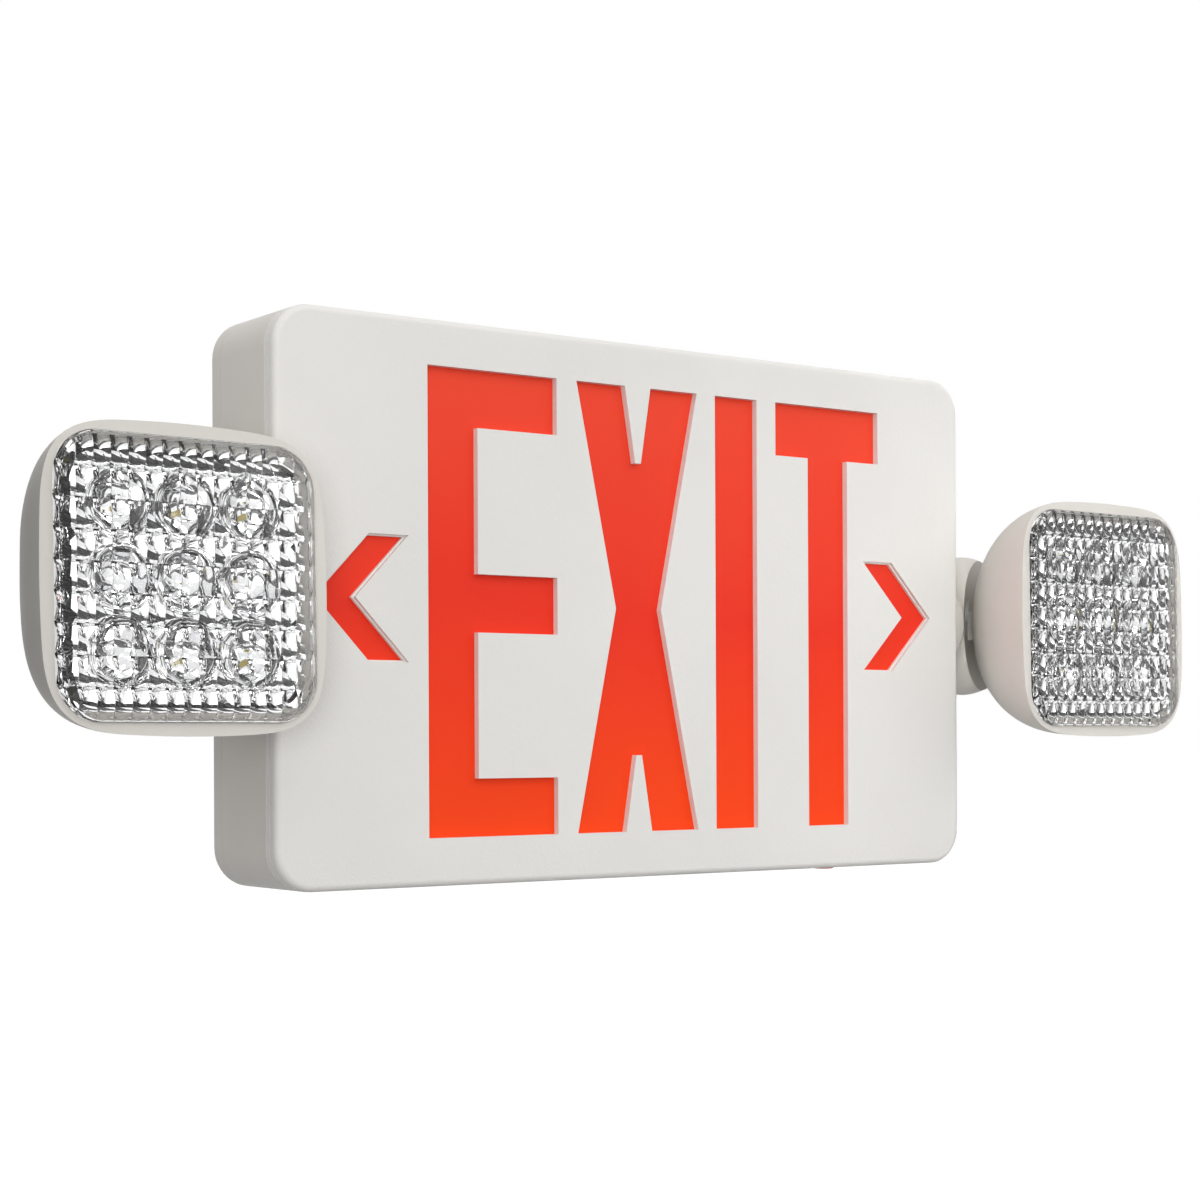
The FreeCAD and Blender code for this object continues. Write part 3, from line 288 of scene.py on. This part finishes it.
# Each row falls to its valley and rises again; the valley slants across each flute.
VALLEY_LEFT = 0.62
VALLEY_SLANT = 0.30
ROW_FALL = ((0.004, 1.0), (0.35, 0.5), (0.7, 0.15), (1.0, 0.0))
ROW_RISE = ((0.5, 0.3), (0.99, 0.75))

# Collimators: (radius, depth) of the clear face and of the silvered dish behind it,
# as shares of half the pitch and of the depth of the solid that they stand for.
OPTIC_PITCH = 21.0 * MM
OPTIC_STEPS = 40
OPTIC_WELD = 0.05 * MM
PLATE = 0.10                  # thickness of the plate between them, as a share of that depth
OPTIC_FACE = ((0.98, 0.0), (0.95, 0.03), (0.91, 0.03), (0.87, -0.02),
              (0.70, 0.01), (0.45, 0.05), (0.36, -0.02), (0.18, -0.06))
OPTIC_DISH = ((0.98, 0.10), (0.93, 0.17), (0.85, 0.27), (0.74, 0.37),
              (0.60, 0.46), (0.44, 0.53), (0.22, 0.58), (0.07, 0.58))
FLANGE_W = 36.0 * MM          # half width and height of the plate
FLANGE_H = 34.8 * MM
FLANGE_CORNER = 8.0 * MM
CLEAR, SILVER, CHIP = range(3)


class Head:
    """A lamp head's own frame: x across, y away from the lens, z up, from its swivel pin."""

    def __init__(self, side):
        self.side = side
        joint = next(j for j in frame["joints"] if j["name"] == f"{side}_head_swing")
        lens = frame["nodes"][f"{side}_lens"].data
        front = max(lens.polygons, key=lambda face: face.area).normal
        up = Vector(joint["axis"]).normalized()
        across = (-front).cross(up).normalized()
        turn = Matrix((across, up.cross(across), up)).transposed()
        self.place = Matrix.Translation(joint["pos_m"]) @ turn.to_4x4()
        points = [self.place.inverted() @ v.co for v in lens.vertices]
        self.half_w = max(p.x for p in points)
        self.half_h = max(p.z for p in points)
        self.front = min(p.y for p in points)

    def add(self, name, form, slots, stands_for):
        """A piece that rides on the head and replaces one of its CAD nodes."""
        bmesh.ops.recalc_face_normals(form, faces=form.faces)
        form.normal_update()
        mesh = bpy.data.meshes.new(name)
        form.to_mesh(mesh)
        form.free()
        mesh.transform(self.place)
        mesh.polygons.foreach_set("use_smooth", [True] * len(mesh.polygons))
        mesh.set_sharp_from_angle(angle=SHARP)
        for slot in slots:
            mesh.materials.append(FINISHES[slot])
        piece = bpy.data.objects.new(f"{self.side}_{name}", mesh)
        bpy.context.scene.collection.objects.link(piece)
        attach(piece, f"{self.side}_head")
        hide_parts(f"{self.side}_{stands_for}")


def on_outline(x, z, a, b, corner):
    """The point itself, or the nearest one on a rounded rectangle's corner if it lies outside."""
    cx = a - corner
    cz = b - corner
    over_x = abs(x) - cx
    over_z = abs(z) - cz
    reach = math.hypot(over_x, over_z)
    if over_x <= 0 or over_z <= 0 or reach <= corner:
        return x, z
    x = math.copysign(cx + over_x / reach * corner, x)
    z = math.copysign(cz + over_z / reach * corner, z)
    return x, z


def outward(x, z, a, b, corner):
    """Direction away from a rounded rectangle at a point of its edge."""
    over_x = abs(x) - (a - corner)
    over_z = abs(z) - (b - corner)
    if over_x > 0 and over_z > 0:
        reach = math.hypot(over_x, over_z)
        return math.copysign(over_x / reach, x), math.copysign(over_z / reach, z)
    if a - abs(x) < b - abs(z):
        return math.copysign(1, x), 0.0
    return 0.0, math.copysign(1, z)


def flute_stations(a):
    """Stations across the lens, as (position, place in its flute)."""
    across = []
    for i in range(FLUTES):
        for k in range(FLUTE_STEPS + 1):
            u = k / FLUTE_STEPS
            across.append((-a + 2 * a * (i + NICK + (1 - 2 * NICK) * u) / FLUTES, u))
    across[0] = (-a, 0.0)
    across[-1] = (a, 1.0)
    return across


def row_stations(valley):
    """Stations up the lens, as (share of its height, share of a row's depth)."""
    up = []
    for j in range(ROWS):
        up += [((j + share * valley) / ROWS, rise) for share, rise in ROW_FALL]
        up += [((j + valley + (1 - valley) * share) / ROWS, rise) for share, rise in ROW_RISE]
    up[0] = (0.0, up[0][1])
    up[-1] = (1.0, up[-1][1])
    return up


def make_lens(head):
    """Clear lens with flutes and stepped rows on its inner face, and a rim with a rounded edge."""
    form = bmesh.new()
    a = head.half_w - LENS_SKIRT
    b = head.half_h - LENS_SKIRT
    corner = LENS_CORNER - LENS_SKIRT
    base = head.front + LENS_PLATE
    columns = []
    for across, u in flute_stations(a):
        bulge = 4 * u * (1 - u)
        verts = []
        for v, rise in row_stations(VALLEY_LEFT - VALLEY_SLANT * u):
            x, z = on_outline(across, -b + 2 * b * v, a, b, corner)
            verts.append(form.verts.new((x, base + ROW_DEPTH * rise + FLUTE_DEPTH * bulge, z)))
        columns.append(verts)
    for left, right in zip(columns, columns[1:]):
        for i in range(len(left) - 1):
            form.faces.new((left[i], left[i + 1], right[i + 1], right[i]))
    bmesh.ops.remove_doubles(form, verts=form.verts, dist=WELD)
    edge = [e for e in form.edges if e.is_boundary]
    wall = bmesh.ops.extrude_edge_only(form, edges=edge)["geom"]
    low = [v for v in wall if isinstance(v, bmesh.types.BMVert)]
    edge = [e for e in wall if isinstance(e, bmesh.types.BMEdge)]
    skirt_end = head.front + LENS_RIM
    for v in low:
        v.co.y = skirt_end
    rings = [(LENS_SKIRT, skirt_end), (LENS_SKIRT, head.front + LENS_EDGE)]
    for k in range(1, EDGE_STEPS + 1):
        angle = math.pi / 2 * k / EDGE_STEPS
        out = LENS_SKIRT - LENS_EDGE * (1 - math.cos(angle))
        rings.append((out, head.front + LENS_EDGE * (1 - math.sin(angle))))
    start = {v: (v.co.x, v.co.z) for v in low}
    for out, y in rings:
        wall = bmesh.ops.extrude_edge_only(form, edges=edge)["geom"]
        new = [v for v in wall if isinstance(v, bmesh.types.BMVert)]
        edge = [e for e in wall if isinstance(e, bmesh.types.BMEdge) and all(v in new for v in e.verts)]
        below = start
        start = {}
        for v in new:
            x, z = next(below[e.other_vert(v)] for e in v.link_edges if e.other_vert(v) in below)
            start[v] = (x, z)
            dx, dz = outward(x, z, a, b, corner)
            v.co = (x + dx * out, y, z + dz * out)
    bmesh.ops.contextual_create(form, geom=edge)
    head.add("fluted_lens", form, ("clear_lens",), "lens")


def add_dish(form, x0, z0, y_of, square, rings, finish, end_finish):
    """Rings of quads from a square cell's border in to its middle, closed by one face."""
    half = OPTIC_PITCH / 2
    last = None
    for share, depth in ((None, square), *rings):
        ring = []
        for n in range(OPTIC_STEPS):
            angle = 2 * math.pi * (n + 0.5) / OPTIC_STEPS
            c = math.cos(angle)
            d = math.sin(angle)
            r = half / max(abs(c), abs(d)) if share is None else share * half
            ring.append(form.verts.new((x0 + r * c, y_of(depth), z0 + r * d)))
        if last:
            for n in range(OPTIC_STEPS):
                m = (n + 1) % OPTIC_STEPS
                form.faces.new((last[n], last[m], ring[m], ring[n])).material_index = finish
        last = ring
    form.faces.new(last).material_index = end_finish


def make_collimators(head):
    """Nine clear collimators, silvered behind, whose square flanges join into one plate."""
    inverse = head.place.inverted()
    points = [inverse @ v.co for v in frame["nodes"][f"{head.side}_optics"].data.vertices]
    front = min(p.y for p in points)
    deep = max(p.y for p in points) - front

    def y_of(share):
        return front + deep * share

    form = bmesh.new()
    for i in (-1, 0, 1):
        for k in (-1, 0, 1):
            x0 = i * OPTIC_PITCH
            z0 = k * OPTIC_PITCH
            add_dish(form, x0, z0, y_of, 0, OPTIC_FACE, CLEAR, CLEAR)
            add_dish(form, x0, z0, y_of, PLATE, OPTIC_DISH, SILVER, CHIP)
    bmesh.ops.remove_doubles(form, verts=form.verts, dist=OPTIC_WELD)
    border = [e for e in form.edges if e.is_boundary]
    halfway = y_of(PLATE / 2)
    grow_w = FLANGE_W / (1.5 * OPTIC_PITCH)
    grow_h = FLANGE_H / (1.5 * OPTIC_PITCH)
    for part in bmesh.ops.extrude_edge_only(form, edges=border)["geom"]:
        if isinstance(part, bmesh.types.BMVert):
            x, z = on_outline(part.co.x * grow_w, part.co.z * grow_h, FLANGE_W, FLANGE_H, FLANGE_CORNER)
            part.co = (x, part.co.y, z)
        elif isinstance(part, bmesh.types.BMFace):
            part.material_index = SILVER if part.verts[0].co.y > halfway else CLEAR
    rim = [e for e in form.edges if e.is_boundary and e.verts[0].co.y < halfway]

    def spot(v):
        return round(v.co.x * 1e5), round(v.co.z * 1e5)

    behind = {spot(v): v for e in form.edges if e.is_boundary and e not in rim for v in e.verts}
    for e in rim:
        first, last = e.verts
        form.faces.new((first, last, behind[spot(last)], behind[spot(first)]))
    head.add("collimators", form, ("clear_optic", "bright_reflector", "led"), "optics")


for head in (Head("left"), Head("right")):
    make_lens(head)
    make_collimators(head)


# ---------------------------------------------------------------- surroundings
WHITE = (1, 1, 1, 1)
SIDE_LIGHT = 0.515            # the world's light on the object from the side,
FRONT_LIGHT = 0.26            # what the front adds to it,
TOP_LIGHT = 0.40              # what the top adds to it,
LEAST_LIGHT = 0.05            # and its least, from below and behind
FLOOR_DEPTH = 0.35            # metres below the object
FLOOR_HALF = 6.0
FLOOR_BOUNCE = 0.22           # grey of the floor for the light that it throws back
FLOOR_SEEN = 0.5              # its grey and glow where it is seen
FLOOR_GLOW = 0.72
CARD_GREY = 0.02
SQUARE = ((-1, -1), (1, -1), (1, 1), (-1, 1))
RAYS = ("visible_camera", "visible_diffuse", "visible_glossy", "visible_transmission")

CAMERA_PLACE = (-0.4785, -0.6706, -0.0447)
CAMERA_YAW = math.radians(35.96)
CAMERA_ROLL = -0.0042
CAMERA_LENS = 68.68
CAMERA_SENSOR = 36
CAMERA_SHIFT = 0.1173

# name, place, aim, size, watts, spread in degrees
LIGHTS = (
    ("key", (0.15, -1.7, 1.0), (0, 0, 0), 0.8, 3, 180),
    ("fill", (-0.95, -1.35, 0.0), (0.2, 0, 0), 0.6, 7.5, 180),
    ("head_fill", (-0.5, -1.25, -0.1), (0.25, -0.04, 0), 0.3, 0.085, 22),
    ("window", (1.1, -1.25, 0.9), (0, 0, 0), 0.9, 2.5, 180),
)


def area_light(name, place, aim, size, watts, spread):
    data = bpy.data.lights.new(name, "AREA")
    data.shape = "DISK"
    data.size = size
    data.energy = watts
    data.spread = math.radians(spread)
    lamp = bpy.data.objects.new(name, data)
    lamp.location = place
    lamp.rotation_euler = (Vector(aim) - Vector(place)).to_track_quat("-Z", "Y").to_euler()
    bpy.context.scene.collection.objects.link(lamp)


def stage_sheet(name, place, along, across, material):
    """A rectangle of the stage, from its middle and its two half sides."""
    mesh = bpy.data.meshes.new(name)
    form = bmesh.new()
    form.faces.new([form.verts.new(Vector(along) * a + Vector(across) * b) for a, b in SQUARE])
    form.to_mesh(mesh)
    form.free()
    mesh.materials.append(material)
    sheet = bpy.data.objects.new(name, mesh)
    sheet.location = place
    bpy.context.scene.collection.objects.link(sheet)
    return sheet


def black_card(name, place, along, across, seen_by):
    """A photographer's black card that only the named kinds of ray meet."""
    m = Nodes(name)
    m.shader.inputs["Base Color"].default_value = (CARD_GREY, CARD_GREY, CARD_GREY, 1)
    m.shader.inputs["Roughness"].default_value = 1.0
    card = stage_sheet(name, place, along, across, m.material)
    for kind in RAYS:
        setattr(card, kind, kind in seen_by)
    card.visible_shadow = "visible_diffuse" in seen_by


def seen_directly(tree):
    """1 for rays from the camera, in reflections and through glass, else 0."""
    path = tree.nodes.new("ShaderNodeLightPath")
    fac = path.outputs["Is Camera Ray"]
    for kind in ("Is Glossy Ray", "Is Transmission Ray"):
        either = tree.nodes.new("ShaderNodeMath")
        either.operation = "MAXIMUM"
        tree.links.new(fac, either.inputs[0])
        tree.links.new(path.outputs[kind], either.inputs[1])
        fac = either.outputs[0]
    return fac


def mix_shaders(tree, fac, first, second):
    mix = tree.nodes.new("ShaderNodeMixShader")
    tree.links.new(fac, mix.inputs["Fac"])
    tree.links.new(first, mix.inputs[1])
    tree.links.new(second, mix.inputs[2])
    return mix.outputs[0]


def pale_floor():
    """White with the object's shadow where it is seen; a dimmer floor for the light it throws back."""
    material = bpy.data.materials.new("pale_floor")
    material.use_nodes = True
    tree = material.node_tree
    tree.nodes.remove(tree.nodes["Principled BSDF"])
    dim = tree.nodes.new("ShaderNodeBsdfDiffuse")
    dim.inputs["Color"].default_value = (FLOOR_BOUNCE, FLOOR_BOUNCE, FLOOR_BOUNCE, 1)
    pale = tree.nodes.new("ShaderNodeBsdfDiffuse")
    pale.inputs["Color"].default_value = (FLOOR_SEEN, FLOOR_SEEN, FLOOR_SEEN, 1)
    glow = tree.nodes.new("ShaderNodeEmission")
    glow.inputs["Color"].default_value = WHITE
    glow.inputs["Strength"].default_value = FLOOR_GLOW
    both = tree.nodes.new("ShaderNodeAddShader")
    tree.links.new(pale.outputs[0], both.inputs[0])
    tree.links.new(glow.outputs[0], both.inputs[1])
    out = mix_shaders(tree, seen_directly(tree), dim.outputs[0], both.outputs[0])
    tree.links.new(out, tree.nodes["Material Output"].inputs["Surface"])
    return material


def make_world():
    """Soft studio light, strongest from above and in front; plain white where it is seen."""
    world = bpy.data.worlds.new("studio")
    bpy.context.scene.world = world
    world.use_nodes = True
    tree = world.node_tree
    way = tree.nodes.new("ShaderNodeTexCoord")
    lean = tree.nodes.new("ShaderNodeVectorMath")
    lean.operation = "DOT_PRODUCT"
    lean.inputs[1].default_value = (0.0, -FRONT_LIGHT, TOP_LIGHT)
    level = tree.nodes.new("ShaderNodeMath")
    level.operation = "ADD"
    level.inputs[1].default_value = SIDE_LIGHT
    least = tree.nodes.new("ShaderNodeMath")
    least.operation = "MAXIMUM"
    least.inputs[1].default_value = LEAST_LIGHT
    light = tree.nodes["Background"]
    light.inputs["Color"].default_value = WHITE
    seen = tree.nodes.new("ShaderNodeBackground")
    seen.inputs["Color"].default_value = WHITE
    tree.links.new(way.outputs["Generated"], lean.inputs[0])
    tree.links.new(lean.outputs["Value"], level.inputs[0])
    tree.links.new(level.outputs[0], least.inputs[0])
    tree.links.new(least.outputs[0], light.inputs["Strength"])
    out = mix_shaders(tree, seen_directly(tree), light.outputs[0], seen.outputs[0])
    tree.links.new(out, tree.nodes["World Output"].inputs["Surface"])


def make_camera():
    """The photo's camera: level, with its frame shifted up, and turned a little about its axis."""
    forward = Vector((math.sin(CAMERA_YAW), math.cos(CAMERA_YAW), 0))
    level = Vector((math.cos(CAMERA_YAW), -math.sin(CAMERA_YAW), 0))
    right = level * math.cos(CAMERA_ROLL) + Vector((0, 0, 1)) * math.sin(CAMERA_ROLL)
    data = bpy.data.cameras.new("camera")
    data.lens = CAMERA_LENS
    data.sensor_width = CAMERA_SENSOR
    data.shift_y = CAMERA_SHIFT
    camera = bpy.data.objects.new("camera", data)
    turn = Matrix((right, right.cross(forward), -forward)).transposed()
    camera.matrix_world = Matrix.Translation(CAMERA_PLACE) @ turn.to_4x4()
    bpy.context.scene.collection.objects.link(camera)
    bpy.context.scene.camera = camera


stage_sheet("floor", (0, 0, cad_box[0][2] - FLOOR_DEPTH),
            (FLOOR_HALF, 0, 0), (0, FLOOR_HALF, 0), pale_floor())
make_world()
make_camera()
for light in LIGHTS:
    area_light(*light)
black_card("side_flag", (-0.275, -0.06, 0.01), (0, 0.07, 0), (0, 0, 0.075), ("visible_diffuse",))
black_card("low_card", (0, -0.72, -0.42), (1.2, 0, 0), (0, 0.42, 0),
           ("visible_glossy", "visible_transmission"))
bpy.context.scene.view_settings.view_transform = "Standard"
